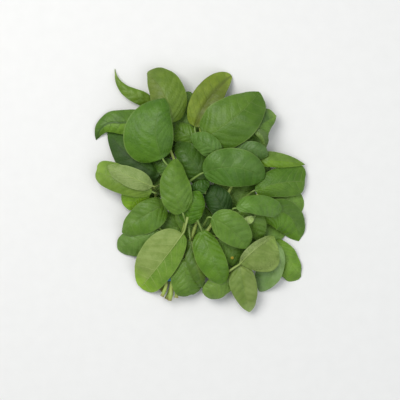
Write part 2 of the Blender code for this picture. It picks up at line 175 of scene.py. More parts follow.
def rings_of(node, sides):
    """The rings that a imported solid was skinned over, end to end, and the point past each end."""
    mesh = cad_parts[node].data
    corners = np.array([vertex.co for vertex in mesh.vertices])
    _, first, which = np.unique(
        np.round(corners / WELD), axis=0, return_index=True, return_inverse=True
    )
    points, which = corners[first], which.ravel()
    near = [set() for _ in points]
    for polygon in mesh.polygons:
        triangle = [int(which[corner]) for corner in polygon.vertices]
        for corner in triangle:
            near[corner].update(triangle)
    near = [others - {point} for point, others in enumerate(near)]

    def layers_from(start):
        layers, seen = [{start}], {start}
        while layers[-1]:
            beyond = set().union(*(near[point] for point in layers[-1])) - seen
            layers.append(beyond)
            seen |= beyond
        return layers[:-1]

    def in_order(layer):
        ring = [min(layer)]
        while len(ring) < sides:
            ring.append(min(near[ring[-1]] & layer - set(ring)))
        return ring

    starts = (layers_from(point) for point in range(len(points)) if len(near[point]) == sides)
    layers = next(
        found for found in starts
        if len(found[-1]) == 1 and all(len(layer) == sides for layer in found[1:-1])
    )
    rings = [in_order(layers[1])]
    for layer in layers[2:-1]:
        walk = in_order(layer)
        turns = [np.roll(way, step).tolist() for way in (walk, walk[::-1]) for step in range(sides)]
        rings.append(next(
            turn for turn in turns if all(b in near[a] for a, b in zip(rings[-1], turn))
        ))
    return points[np.array(rings)], points[min(layers[0])], points[min(layers[-1])]


def through(values, knots, at):
    """Smooth values between the given ones, each of which belongs to a knot."""
    slopes = np.gradient(values, knots, axis=0, edge_order=2)
    left = np.clip(np.searchsorted(knots, at, side="right") - 1, 0, len(knots) - 2)
    span = (knots[left + 1] - knots[left])[..., None]
    u = (at - knots[left])[..., None] / span
    before = (1 + 2 * u) * (1 - u) ** 2 * values[left] + u * (1 - u) ** 2 * span * slopes[left]
    after = u**2 * (3 - 2 * u) * values[left + 1] + u**2 * (u - 1) * span * slopes[left + 1]
    return before + after


def shares_along(path):
    """How far along a path each of its points lies, from 0 to 1, and the path's length."""
    way = np.concatenate([[0.0], np.cumsum(np.linalg.norm(np.diff(path, axis=0), axis=1))])
    return way / way[-1], way[-1]


def unit(vectors):
    return vectors / np.maximum(np.linalg.norm(vectors, axis=-1), 1e-12)[..., None]


def frames_along(path):
    """At each point of a path: the way onward, a level way to the left, and the way up."""
    onward = unit(np.gradient(path, axis=0))
    left = unit(np.column_stack([-onward[:, 1], onward[:, 0], np.zeros(len(path))]))
    return onward, left, np.cross(onward, left)


def tube_faces(rows, sides, start=0):
    """Quads between the rings of a tube."""
    row, side = np.meshgrid(np.arange(rows - 1), np.arange(sides), indexing="ij")
    after = (side + 1) % sides
    here, there = row * sides, (row + 1) * sides
    quads = np.stack([here + side, here + after, there + after, there + side], axis=-1)
    return quads.reshape(-1, 4) + start


def set_vectors(made, name, values):
    """A named vector at each point of a mesh, for its material to read."""
    layer = made.data.attributes.new(name, "FLOAT_VECTOR", "POINT")
    layer.data.foreach_set("vector", np.asarray(values, np.float32).ravel())


def stand_for(made, node):
    """A finished piece takes a solid's place and on the one body."""
    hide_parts(node)
    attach(made, "root")


def new_group(name, inputs, outputs):
    """An empty shader node group with named sockets, its inputs' node and its outputs' node."""
    group = bpy.data.node_groups.new(name, "ShaderNodeTree")
    for label, kind, value in inputs:
        socket = group.interface.new_socket(label, in_out="INPUT", socket_type="NodeSocket" + kind)
        socket.default_value = value
    for label, kind in outputs:
        group.interface.new_socket(label, in_out="OUTPUT", socket_type="NodeSocket" + kind)
    return group, group.nodes.new("NodeGroupInput"), group.nodes.new("NodeGroupOutput")


def use_group(tree, group, **values):
    """A group placed in a material, its inputs named with _ for a space."""
    made = tree.nodes.new("ShaderNodeGroup")
    made.node_tree = group
    for key, value in values.items():
        made.inputs[key.replace("_", " ")].default_value = value
    return made


def maths(tree, operation, *sources):
    return add_node(tree, "Math", *sources, operation=operation).outputs[0]


def faded(tree, value, low, high, at_low=0.0, at_high=1.0):
    """A smooth step of a value, from at_low to at_high."""
    return add_node(
        tree, "MapRange", value, low, high, at_low, at_high, interpolation_type="SMOOTHSTEP"
    ).outputs["Result"]


def mixed(tree, share, first, second):
    """Two colours mixed by a share."""
    made = add_node(tree, "Mix", data_type="RGBA")
    for socket, source in zip((made.inputs[0], made.inputs[6], made.inputs[7]),
                              (share, first, second)):
        if isinstance(source, bpy.types.NodeSocket):
            tree.links.new(source, socket)
        else:
            socket.default_value = source
    return made.outputs[2]


def make_fibres():
    """Lengthwise fibres and blotches on a stem or a stalk, and the brown edge of a cut end."""
    tree, given, result = new_group(
        "stem_fibres",
        (("Green", "Color", (0.3, 0.36, 0.09, 1.0)),
         ("Shade", "Color", (0.2, 0.3, 0.05, 1.0)),
         ("Blush", "Color", (0.25, 0.16, 0.08, 1.0)), ("Blush Amount", "Float", 0.3),
         ("Browned End", "Float", 0.0)),
        (("Color", "Color"), ("Height", "Float"), ("Roughness", "Float")),
    )
    place = add_node(tree, "Attribute", attribute_name="stem_place").outputs["Vector"]
    stretched = add_node(tree, "Mapping", place)
    stretched.inputs["Scale"].default_value = (1.0, 0.06, 1.0)
    fibres = add_node(tree, "TexNoise", stretched.outputs[0], None, 3.0, 3.0).outputs["Fac"]
    blotches = add_node(tree, "TexNoise", place, None, 0.09, 2.0).outputs["Fac"]
    speckle = add_node(tree, "TexNoise", place, None, 1.6, 2.0).outputs["Fac"]
    streaked = mixed(tree, faded(tree, fibres, 0.38, 0.66), given.outputs["Green"],
                     given.outputs["Shade"])
    blush = maths(tree, "MULTIPLY", faded(tree, blotches, 0.48, 0.68),
                  given.outputs["Blush Amount"])
    blushed = mixed(tree, blush, streaked, given.outputs["Blush"])
    from_end = add_node(tree, "SeparateXYZ", place).outputs["Y"]
    from_end = maths(tree, "ADD", from_end, maths(tree, "MULTIPLY", fibres, 1.6))
    browned = maths(tree, "MULTIPLY", faded(tree, from_end, 1.2, 3.2, 1.0, 0.0),
                    given.outputs["Browned End"])
    tree.links.new(mixed(tree, browned, blushed, DRIED_BROWN), result.inputs["Color"])
    height = maths(tree, "ADD", maths(tree, "MULTIPLY", fibres, 0.7),
                   maths(tree, "MULTIPLY", speckle, 0.5))
    tree.links.new(height, result.inputs["Height"])
    tree.links.new(faded(tree, speckle, 0.3, 0.7, 0.38, 0.56), result.inputs["Roughness"])
    return tree


stem_fibres = make_fibres()


def stem_finish(name, green, shade, blush_amount, browned=0.0):
    """Smooth green skin with fibres, for a stem or a stalk."""
    finish, tree, shader = new_material(name)
    skin = use_group(tree, stem_fibres, Green=(*green, 1.0), Shade=(*shade, 1.0),
                     Blush_Amount=blush_amount, Browned_End=browned)
    tree.links.new(skin.outputs["Color"], shader.inputs["Base Color"])
    tree.links.new(skin.outputs["Roughness"], shader.inputs["Roughness"])
    bump = add_node(tree, "Bump")
    bump.inputs["Strength"].default_value = 0.5
    bump.inputs["Distance"].default_value = 0.12 * MM
    tree.links.new(skin.outputs["Height"], bump.inputs["Height"])
    tree.links.new(bump.outputs[0], shader.inputs["Normal"])
    return finish


def make_cut_face():
    """Pale, wet pith in a browned rim; the distance from the middle is in the mesh."""
    finish, tree, shader = new_material("cut_pith")
    place = add_node(tree, "Attribute", attribute_name="stem_place").outputs["Vector"]
    out = add_node(tree, "SeparateXYZ", place).outputs["Z"]
    pores = add_node(tree, "TexNoise", place, None, 2.4, 3.0).outputs["Fac"]
    edge = maths(tree, "ADD", out, maths(tree, "MULTIPLY", pores, 0.35))
    pith = mixed(tree, faded(tree, pores, 0.4, 0.65), *PITH_TONES)
    colour = mixed(tree, faded(tree, edge, 0.72, 1.05), pith, CUT_EDGE_BROWN)
    tree.links.new(colour, shader.inputs["Base Color"])
    tree.links.new(faded(tree, pores, 0.3, 0.7, 0.3, 0.6), shader.inputs["Roughness"])
    bump = add_node(tree, "Bump")
    bump.inputs["Distance"].default_value = 0.15 * MM
    tree.links.new(pores, bump.inputs["Height"])
    tree.links.new(bump.outputs[0], shader.inputs["Normal"])
    return finish


cut_pith = make_cut_face()
stem_green = stem_finish("stem_skin", (0.385, 0.475, 0.10), (0.24, 0.37, 0.05), 0.15, 0.55)


def lidded_tube(rings):
    """Quads over rows of rings, with a lid on the first ring and on the last."""
    rows, sides = rings.shape[:2]
    faces = tube_faces(rows, sides).tolist()
    faces.append(list(range(sides))[::-1])
    faces.append(list(range((rows - 1) * sides, rows * sides)))
    return faces


def cut_rings(ring, outward):
    """Rings of a slightly hollow cut face, from near the middle out to the rim."""
    middle = ring.mean(axis=0)
    out = np.array(CUT_STEPS)[:, None, None]
    return middle + (ring - middle) * out - outward * CUT_HOLLOW_MM * MM * (1 - out**2)


def make_stem(node, number):
    """A grooved square stem along its solid's middle, from the cut end to the tip."""
    rings, first_end, last_end = rings_of(node, STEM_CAD_SIDES)
    if first_end[1] > last_end[1]:
        rings = rings[::-1]
    middles = rings.mean(axis=1)
    girth = np.linalg.norm(rings - middles[:, None], axis=2).mean(axis=1)
    knots, length = shares_along(middles)
    rows = int(length / (STEM_STEP_MM * MM))
    share = np.linspace(0, 1, rows)
    path = through(middles, knots, share)
    along = share * length / MM
    knot = (along / KNOT_SPACING_MM + KNOT_STAGGER * number) % 1.0
    from_knot = np.minimum(knot, 1 - knot) * KNOT_SPACING_MM
    radius = np.interp(share, knots, girth)
    radius *= STEM_SLIMMING + KNOT_SWELLING * np.exp(-((from_knot / KNOT_LENGTH_MM) ** 2))
    from_tip = np.clip((along[-1] - along) / SOFT_END_MM, NARROWEST, 1)
    radius *= np.sqrt(1 - (1 - from_tip) ** 2)
    onward, left, above = frames_along(path)
    angle = np.arange(STEM_SIDES) * 2 * np.pi / STEM_SIDES
    turn = angle + STEM_TURN * number
    outline = 1 - STEM_SQUARENESS * np.cos(4 * turn) - STEM_GROOVE * np.cos(8 * turn)
    bends = np.sin(UNEVEN_TURNS_PER_MM * along[:, None] + 2 * angle + number)
    uneven = 1 + STEM_UNEVENNESS * bends
    reach = (radius[:, None] * outline * uneven)[..., None]
    side = np.cos(angle)[:, None] * left[:, None] + np.sin(angle)[:, None] * above[:, None]
    skin = path[:, None] + reach * side
    cut = cut_rings(skin[0], -onward[0])
    tip = cut_rings(skin[-1], onward[-1])[::-1]
    points = np.concatenate([cut, skin, tip])
    level = np.concatenate([CUT_STEPS, np.ones(rows), CUT_STEPS[::-1]])
    place = np.stack(np.broadcast_arrays(
        angle * radius[0] / MM,
        np.interp(np.arange(len(points)), len(cut) + np.arange(rows), along)[:, None],
        level[:, None],
    ), axis=-1)
    faces = lidded_tube(points)
    row_of_face = np.repeat(np.arange(len(points) - 1), STEM_SIDES)
    slots = np.concatenate([row_of_face < len(cut), [True, False]])
    stem = make_object(f"basil_{node}", points.reshape(-1, 3), faces, (stem_green, cut_pith), slots)
    stem.data.set_sharp_from_angle(angle=RIM_ANGLE)
    set_vectors(stem, "stem_place", place)
    stand_for(stem, node)


stem_nodes = sorted(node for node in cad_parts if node.startswith("stem_"))
for number, node in enumerate(stem_nodes):
    make_stem(node, number)

# ---------------------------------------------------------------------------------------------
# The tie.
# A blue elastic band, flat and a little stretched, with fine ribs round it. It goes once round
# the two rows of stems and holds them by its own pull.
# ---------------------------------------------------------------------------------------------

BAND_STEPS = 96
BAND_RIBS = 7
BAND_RIB_MM = 0.07
BAND_THICK_MM = 0.7
BAND_CORNER_MM = 2.4
BAND_PROFILE = 40
BAND_EDGE_ROUNDING = 0.35
BAND_FACE_ROUNDING = 0.5
BAND_RIBBED_FROM = 0.8
BLUE_TONES = ((0.022, 0.125, 0.27, 1.0), (0.06, 0.21, 0.38, 1.0))


def make_band():
    """A ribbed flat loop, a rounded rectangle seen from the cut ends."""
    low, high = (np.array(corner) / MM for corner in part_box("tie_band"))
    middle = (low + high) / 2
    half = (high - low) / 2 - BAND_THICK_MM / 2 - BAND_RIB_MM
    angle = np.arange(BAND_STEPS) * 2 * np.pi / BAND_STEPS
    way = np.column_stack([np.cos(angle), np.zeros(BAND_STEPS), np.sin(angle)])
    straight = (half - BAND_CORNER_MM) * [1, 0, 1]
    line = middle + np.sign(np.round(way, 6)) * straight + way * BAND_CORNER_MM
    lengths = shares_along(np.vstack([line, line[:1]]))[0]
    around = np.linspace(0, 1, BAND_STEPS, endpoint=False)
    loop = np.column_stack([
        np.interp(around, lengths, np.append(line[:, axis], line[0, axis])) for axis in range(3)
    ])
    onward = unit(np.roll(loop, -1, axis=0) - np.roll(loop, 1, axis=0))
    outward = np.cross(onward, [0.0, 1.0, 0.0])
    outward *= np.sign(np.sum(outward * (loop - middle), axis=1))[:, None]
    turn = np.arange(BAND_PROFILE) * 2 * np.pi / BAND_PROFILE
    wide = high[1] - low[1]
    across = np.sign(np.cos(turn)) * np.abs(np.cos(turn)) ** BAND_EDGE_ROUNDING * wide / 2
    thick = np.sign(np.sin(turn)) * np.abs(np.sin(turn)) ** BAND_FACE_ROUNDING
    thick *= BAND_THICK_MM / 2
    ribs = BAND_RIB_MM * np.cos(across * BAND_RIBS * 2 * np.pi / wide)
    thick += np.sign(thick) * ribs * (np.abs(thick) > BAND_RIBBED_FROM * BAND_THICK_MM / 2)
    points = (
        loop[:, None] + outward[:, None] * thick[:, None] + across[:, None] * [0.0, 1.0, 0.0]
    ) * MM
    faces = tube_faces(BAND_STEPS + 1, BAND_PROFILE) % (BAND_STEPS * BAND_PROFILE)
    return points.reshape(-1, 3), faces


def elastic_finish():
    """Matt blue elastic with a fine weave and paler, dusty patches."""
    finish, tree, shader = new_material("blue_elastic")
    where = add_node(tree, "TexCoord").outputs["Object"]
    dust = add_node(tree, "TexNoise", where, None, 900.0, 3.0).outputs["Fac"]
    weave = add_node(tree, "TexWave", where, 2200.0, 2.0, bands_direction="X").outputs["Fac"]
    blue = mixed(tree, faded(tree, dust, 0.35, 0.7), *BLUE_TONES)
    tree.links.new(blue, shader.inputs["Base Color"])
    tree.links.new(faded(tree, dust, 0.3, 0.7, 0.5, 0.72), shader.inputs["Roughness"])
    bump = add_node(tree, "Bump")
    bump.inputs["Strength"].default_value = 0.4
    bump.inputs["Distance"].default_value = 0.08 * MM
    tree.links.new(weave, bump.inputs["Height"])
    tree.links.new(bump.outputs[0], shader.inputs["Normal"])
    return finish


band = make_object("basil_tie_band", *make_band(), [elastic_finish()])
stand_for(band, "tie_band")

# ---------------------------------------------------------------------------------------------
# The leaves on the underside.
# Twelve older leaves lie against the table and carry the rest. Each leaf is a thin blade on a
# round stalk that runs on under the blade as its midrib; side veins arch from it to the margin.
# ---------------------------------------------------------------------------------------------

LEAF_CAD_SIDES = 8
STALK_CAD_RINGS = 3
BLADE_BASE_HALF_MM = 0.55
BASE_ROUNDING = 0.6
TIP_ROUNDING = 0.68
MIDRIB_CREASE = 0.05
BLADE_REACH = 0.996
EVEN_ROWS = 0.7
BLADE_MM = 0.34
MARGIN_MM = 0.14
VEIN_PAIRS = 6.5
VEIN_OFFSET = 0.16
VEIN_LEAN = (0.72, 0.42)
VEINED_SHARE = 0.8
PUCKER_MM = 0.3
PUCKER_LEVEL = 0.4
# The shares of the blade over which its puckers rise from the midrib, margin, base and tip.
PUCKER_RISE = (0.25, 0.2, 0.1, 0.15)
GROOVE_MM = 0.22
GROOVE_HALF_MM = 0.9
WAVE_MM = 0.22
RUFFLE_MM = 0.4
STALK_SIDES = 12
STALK_STEP_MM = 0.8
STALK_SLIMMING = 0.8
MIDRIB_REACH = 0.94
MIDRIB_RADII_MM = (0.5, 0.13)
MIDRIB_SINK = 0.9
MIDRIB_STRIDE = 6
LOWEST_MM = 0.25


def leaf_rings(node):
    """A leaf's rings, stalk first, each from the left edge over the top to the right edge."""
    rings, foot, tip = rings_of(node, LEAF_CAD_SIDES)
    across = np.linalg.norm(rings - rings.mean(axis=1)[:, None], axis=2).max(axis=1)
    if across[2] > across[-3]:
        rings, foot, tip = rings[::-1], tip, foot
    blade = rings[STALK_CAD_RINGS:]
    half = LEAF_CAD_SIDES // 2
    widths = np.linalg.norm(blade[:, :half] - blade[:, half:], axis=2).sum(axis=0)
    rings = np.roll(rings, -int(widths.argmax()), axis=1)
    height = rings[STALK_CAD_RINGS:, :, 2].mean(axis=0)
    if height[1:half].mean() < height[half + 1:].mean():
        rings = np.roll(rings[:, ::-1], 1, axis=1)
    blade = rings[STALK_CAD_RINGS:]
    onward = blade[3, 2] - blade[2, 2]
    to_left = blade[2, 0] - blade[2, half]
    if onward[0] * to_left[1] - onward[1] * to_left[0] < 0:
        rings = np.roll(rings[:, ::-1], half + 1, axis=1)
    return rings, foot, tip


def rounded(share, tip_rounding):
    """A share of the way, stretched at both ends, so that what is even in it is round there."""
    from_base, to_tip = share**BASE_ROUNDING, (1 - share) ** tip_rounding
    return from_base / (from_base + to_tip)


def blade_sheet(rings, tip, rows, across, tip_rounding):
    """The middle sheet of a blade in rows from its base and columns from its left edge."""
    blade = rings[STALK_CAD_RINGS:]
    left, right = (blade[:, 1] + blade[:, 7]) / 2, (blade[:, 3] + blade[:, 5]) / 2
    centre = blade[:, 2] - (blade[:, 1] - blade[:, 7]) / 2
    base = (rings[STALK_CAD_RINGS - 1].mean(axis=0) + centre[0]) / 2
    reach = np.stack([blade[:, 0], left, right, blade[:, 4]], axis=1) - centre[:, None]
    at_base = unit(reach[0]) * BLADE_BASE_HALF_MM * MM * np.array([[1], [0.5], [0.5], [1]])
    reach = np.concatenate([at_base[None], reach, np.zeros((1, 4, 3))])
    line = np.vstack([base, centre, tip])
    knots, length = shares_along(line)
    share = np.linspace(0, 1, rows)
    closer = (1 - np.cos(np.pi * share)) * (1 - EVEN_ROWS) / 2
    share = BLADE_REACH * (EVEN_ROWS * share + closer)
    middle = through(line, knots, share)
    reach = through(
        reach.reshape(len(knots), -1), rounded(knots, tip_rounding), rounded(share, tip_rounding)
    ).reshape(rows, 4, 3)
    out = np.sqrt(across**2 + MIDRIB_CREASE**2) - MIDRIB_CREASE
    out = (out / out.max())[None, :, None]
    on_left = (across > 0)[None, :, None]
    edge = np.where(on_left, reach[:, None, 0], reach[:, None, 3])
    halfway = np.where(on_left, reach[:, None, 1], reach[:, None, 2])
    sheet = middle[:, None] + (4 * halfway - edge) * out + (2 * edge - 4 * halfway) * out**2
    return sheet, share, length, np.linalg.norm(reach[:, [0, 3]], axis=2).max()


def sheet_normals(sheet):
    """Unit vectors away from the upper side of a sheet, whose columns run from left to right."""
    onward, right = np.gradient(sheet, axis=0), np.gradient(sheet, axis=1)
    return unit(np.cross(right, onward))


def grid_faces(rows, columns):
    """The quads of a sheet's two skins and of the narrow strip that closes them all round."""
    number = np.arange(rows * columns).reshape(rows, columns)
    upper = np.stack([number[:-1, :-1], number[:-1, 1:], number[1:, 1:], number[1:, :-1]], axis=-1)
    upper = upper.reshape(-1, 4)
    rim = np.concatenate([
        number[0], number[1:, -1], number[-1, -2::-1], number[-2:0:-1, 0]
    ])
    after, under = np.roll(rim, -1), rows * columns
    strip = np.stack([rim, rim + under, after + under, after], axis=-1)
    return upper, upper[:, ::-1] + under, strip


def make_leaf(node, finishes, rows, columns, veins_up=False, pucker=1.0, vein_lean=1.0,
              rib_girth=1.0, tip_rounding=TIP_ROUNDING):
    """A veined blade with a real thickness, and the stalk that runs on under it as its midrib."""
    rings, foot, tip = leaf_rings(node)
    seed = sum(ord(letter) * place for place, letter in enumerate(node, 1))
    random = np.random.default_rng(seed)
    across = np.linspace(1, -1, columns)
    sheet, share, length, half_width = blade_sheet(rings, tip, rows, across, tip_rounding)
    along, out = share[:, None], np.abs(across)[None]
    aspect = half_width / length
    lean = (VEIN_LEAN[0] * out + VEIN_LEAN[1] * out**2) * aspect * vein_lean
    phase = VEIN_PAIRS * (along - lean) / (1 - lean) + VEIN_OFFSET * np.sign(across)
    spacing = VEINED_SHARE * length / MM * (1 - lean) / VEIN_PAIRS + 0 * along
    from_midrib = np.linalg.norm(sheet - sheet[:, [columns // 2]], axis=2) / MM
    turns = random.uniform(0, 2 * np.pi, 6)
    inside = 1.0
    for distance, rise in zip((out, 1 - out, along, 1 - along), PUCKER_RISE):
        inside = inside * np.clip(distance / rise, 0, 1)
    relief = PUCKER_MM * pucker * inside * (np.sin(np.pi * phase) ** 2 - PUCKER_LEVEL)
    relief -= GROOVE_MM * np.exp(-((from_midrib / GROOVE_HALF_MM) ** 2)) * (1 - along)
    relief *= -1 if veins_up else 1
    relief += WAVE_MM * out * (
        np.sin(9 * along + 2 * across + turns[0]) + np.sin(5 * along - 4 * across + turns[1])
    )
    relief += RUFFLE_MM * out**3 * np.sin(17 * along + 2 * np.sign(across) + turns[2]) * (
        0.5 + 0.5 * np.sin(4 * along + turns[3])
    )
    sheet = sheet + sheet_normals(sheet) * relief[..., None] * MM
    sheet[..., 2] = np.maximum(sheet[..., 2], LOWEST_MM * MM)
    outward = sheet_normals(sheet)
    thick = MARGIN_MM + (BLADE_MM - MARGIN_MM) * (1 - out**4) * (1 - along**8)
    skins = [sheet + outward * (side * thick / 2 * MM)[..., None] for side in (1, -1)]
    botanical_under = outward[:, columns // 2] * (1 if veins_up else -1)
    ribbed = share < MIDRIB_REACH
    ribbed[0] = False
    rib_radius = np.interp(share[ribbed], (0, MIDRIB_REACH), MIDRIB_RADII_MM) * rib_girth * MM
    rib = sheet[ribbed, columns // 2]
    rib = rib + botanical_under[ribbed] * MIDRIB_SINK * rib_radius[:, None]
    stalk = rings[:STALK_CAD_RINGS].mean(axis=1)
    girth = np.linalg.norm(rings[:STALK_CAD_RINGS] - stalk[:, None], axis=2).mean(axis=1)
    line = np.vstack([foot, stalk, rib[::MIDRIB_STRIDE]])
    girth = np.concatenate([girth[:1], girth * STALK_SLIMMING, rib_radius[::MIDRIB_STRIDE]])
    girth[0] *= STALK_SLIMMING
    knots, stalk_length = shares_along(line)
    stops = np.linspace(0, 1, int(stalk_length / (STALK_STEP_MM * MM)))
    path = through(line, knots, stops)
    radius = np.interp(stops, knots, girth)[:, None]
    path[:, 2:] = np.maximum(path[:, 2:], radius)
    _, left, above = frames_along(path)
    angle = np.arange(STALK_SIDES) * 2 * np.pi / STALK_SIDES
    side = np.cos(angle)[:, None] * left[:, None] + np.sin(angle)[:, None] * above[:, None]
    tube = path[:, None] + radius[..., None] * side
    points = np.concatenate([skin.reshape(-1, 3) for skin in (*skins, tube)])
    upper, under, strip = grid_faces(rows, columns)
    tube_quads = [
        [corner + 2 * rows * columns for corner in face] for face in lidded_tube(tube)
    ]
    faces = [*upper.tolist(), *under.tolist(), *strip.tolist(), *tube_quads]
    top, bottom = (1, 0) if veins_up else (0, 1)
    slots = np.repeat((top, bottom, 0, 2), (len(upper), len(under), len(strip), len(tube_quads)))
    leaf = make_object(f"basil_{node}", points, faces, finishes, slots)
    leaf.data.set_sharp_from_angle(angle=RIM_ANGLE)
    none = np.zeros((tube.size // 3, 3))
    vein = np.stack(np.broadcast_arrays(across[None], phase, spacing), axis=-1).reshape(-1, 3)
    set_vectors(leaf, "leaf_vein", np.concatenate([vein, vein, none]))
    place = np.stack(np.broadcast_arrays(
        sheet[..., 0] / MM + seed % 97, sheet[..., 1] / MM, along
    ), axis=-1).reshape(-1, 3)
    set_vectors(leaf, "leaf_place", np.concatenate([place, place, none]))
    fibre = np.stack(np.broadcast_arrays(
        angle * 1.0, stops[:, None] * stalk_length / MM + seed % 31, 1.0
    ), axis=-1).reshape(-1, 3)
    set_vectors(leaf, "stem_place", np.concatenate([0 * place, 0 * place, fibre]))
    stand_for(leaf, node)


def make_veins():
    """Masks of a leaf's veins, cells and rim, drawn from the vein lines held in its mesh."""
    tree, given, result = new_group(
        "leaf_veins", (("Cell Size", "Float", 2.2), ("Midrib Width", "Float", 0.055)),
        (("Midrib", "Float"), ("Side Veins", "Float"), ("Network", "Float"), ("Cells", "Float"),
         ("Rim", "Float")),
    )
    vein = add_node(tree, "Attribute", attribute_name="leaf_vein").outputs["Vector"]
    signed, phase, spacing = add_node(tree, "SeparateXYZ", vein).outputs
    place = add_node(tree, "Attribute", attribute_name="leaf_place").outputs["Vector"]
    out = maths(tree, "ABSOLUTE", signed)
    beside = maths(tree, "DIVIDE", out, given.outputs["Midrib Width"])
    tree.links.new(faded(tree, beside, 0.35, 1.0, 1.0, 0.0), result.inputs["Midrib"])
    nearest = maths(tree, "PINGPONG", phase, 0.5)
    distance = maths(tree, "MULTIPLY", nearest, spacing)
    width = faded(tree, out, 0.0, 1.0, 0.34, 0.1)
    side_veins = maths(tree, "SUBTRACT", 1.0, faded(tree, maths(tree, "DIVIDE", distance, width),
                                                    0.35, 1.0))
    side_veins = maths(tree, "MULTIPLY", side_veins, faded(tree, out, 0.82, 0.97, 1.0, 0.0))
    tree.links.new(side_veins, result.inputs["Side Veins"])
    scale = maths(tree, "DIVIDE", 1.0, given.outputs["Cell Size"])
    warp = add_node(tree, "TexNoise", place, None, 0.7, 2.0).outputs["Color"]
    warped = add_node(tree, "VectorMath", place, add_node(
        tree, "VectorMath", warp, operation="SCALE").outputs[0], operation="ADD").outputs[0]
    cells = add_node(tree, "TexVoronoi", warped, None, None, voronoi_dimensions="2D",
                     feature="DISTANCE_TO_EDGE")
    tree.links.new(scale, cells.inputs["Scale"])
    tree.links.new(faded(tree, cells.outputs["Distance"], 0.01, 0.08, 1.0, 0.0),
                   result.inputs["Network"])
    tree.links.new(faded(tree, cells.outputs["Distance"], 0.0, 0.4), result.inputs["Cells"])
    # The rim mask, for the painted highlight along the margin.
    tree.links.new(faded(tree, out, 0.955, 0.99), result.inputs["Rim"])
    return tree


leaf_veins = make_veins()
DARK_PATCH_TINT = (0.76, 0.82, 0.62, 1.0)


def make_skin():
    """Colour, shine and relief of one side of a leaf. Raised is 1 where its veins stand proud."""
    tree, given, result = new_group(
        "leaf_skin",
        (("Left Half", "Color", (0.1, 0.2, 0.04, 1.0)),
         ("Right Half", "Color", (0.1, 0.2, 0.04, 1.0)),
         ("Tip", "Color", (0.12, 0.22, 0.05, 1.0)),
         ("Vein", "Color", (0.24, 0.33, 0.09, 1.0)),
         ("Vein Strength", "Float", 0.5), ("Midrib Width", "Float", 0.055),
         ("Raised", "Float", -1.0), ("Dullness", "Float", 0.44)),
        (("Color", "Color"), ("Roughness", "Float"), ("Height", "Float")),
    )
    veins = use_group(tree, leaf_veins)
    tree.links.new(given.outputs["Midrib Width"], veins.inputs["Midrib Width"])
    signed = add_node(tree, "SeparateXYZ", add_node(
        tree, "Attribute", attribute_name="leaf_vein").outputs["Vector"]).outputs[0]
    place = add_node(tree, "Attribute", attribute_name="leaf_place").outputs["Vector"]
    along = add_node(tree, "SeparateXYZ", place).outputs[2]
    patches = add_node(tree, "TexNoise", place, None, 0.16, 3.0).outputs["Fac"]
    grain = add_node(tree, "TexNoise", place, None, 2.6, 3.0).outputs["Fac"]
    # The halves and the tip each take their own tone. On several leaves these hold painted shade on
    # a half that tilts away from the light, and painted light on a thin tip that the light shows
    # through.
    halves = mixed(tree, faded(tree, signed, -0.1, 0.1), given.outputs["Right Half"],
                   given.outputs["Left Half"])
    tipped = mixed(tree, faded(tree, along, 0.7, 1.0), halves, given.outputs["Tip"])
    darker = add_node(tree, "Mix", data_type="RGBA", blend_type="MULTIPLY")
    tree.links.new(faded(tree, patches, 0.36, 0.66), darker.inputs[0])
    tree.links.new(tipped, darker.inputs[6])
    darker.inputs[7].default_value = DARK_PATCH_TINT
    fine = maths(tree, "MULTIPLY", veins.outputs["Network"], 0.22)
    side = maths(tree, "MULTIPLY", veins.outputs["Side Veins"], 0.7)
    pale = maths(tree, "MAXIMUM", maths(tree, "MAXIMUM", fine, side), veins.outputs["Midrib"])
    pale = maths(tree, "MULTIPLY", pale, given.outputs["Vein Strength"])
    veined = mixed(tree, pale, darker.outputs[2], given.outputs["Vein"])
    # A painted highlight: a thin band round the margin is paled towards the vein tone, as where the
    # edge catches the light.
    rim = maths(tree, "MULTIPLY", veins.outputs["Rim"], 0.35)
    tree.links.new(mixed(tree, rim, veined, given.outputs["Vein"]), result.inputs["Color"])
    uneven = maths(tree, "MULTIPLY", maths(tree, "SUBTRACT", grain, 0.5), 0.22)
    tree.links.new(maths(tree, "ADD", given.outputs["Dullness"], uneven),
                   result.inputs["Roughness"])
    lines = maths(tree, "ADD", maths(tree, "MULTIPLY", veins.outputs["Side Veins"], 0.5),
                  maths(tree, "MULTIPLY", veins.outputs["Midrib"], 0.8))
    lines = maths(tree, "SUBTRACT", lines, maths(tree, "MULTIPLY", veins.outputs["Cells"], 0.5))
    height = maths(tree, "MULTIPLY", lines, given.outputs["Raised"])
    height = maths(tree, "ADD", height, maths(tree, "MULTIPLY", grain, 0.3))
    tree.links.new(height, result.inputs["Height"])
    return tree


leaf_skin = make_skin()


def leaf_finish(name, left, right, tip, vein, strength, raised, dullness, midrib=0.055):
    """One side of a leaf. The midrib's width is a share of half the blade's."""
    finish, tree, shader = new_material(name)
    skin = use_group(
        tree, leaf_skin, Left_Half=(*left, 1.0), Right_Half=(*right, 1.0), Tip=(*tip, 1.0),
        Vein=(*vein, 1.0), Vein_Strength=strength, Midrib_Width=midrib, Raised=raised,
        Dullness=dullness,
    )
    tree.links.new(skin.outputs["Color"], shader.inputs["Base Color"])
    tree.links.new(skin.outputs["Roughness"], shader.inputs["Roughness"])
    shader.inputs["Specular IOR Level"].default_value = 0.36
    bump = add_node(tree, "Bump")
    bump.inputs["Strength"].default_value = 0.8
    bump.inputs["Distance"].default_value = 0.2 * MM
    tree.links.new(skin.outputs["Height"], bump.inputs["Height"])
    tree.links.new(bump.outputs[0], shader.inputs["Normal"])
    return finish


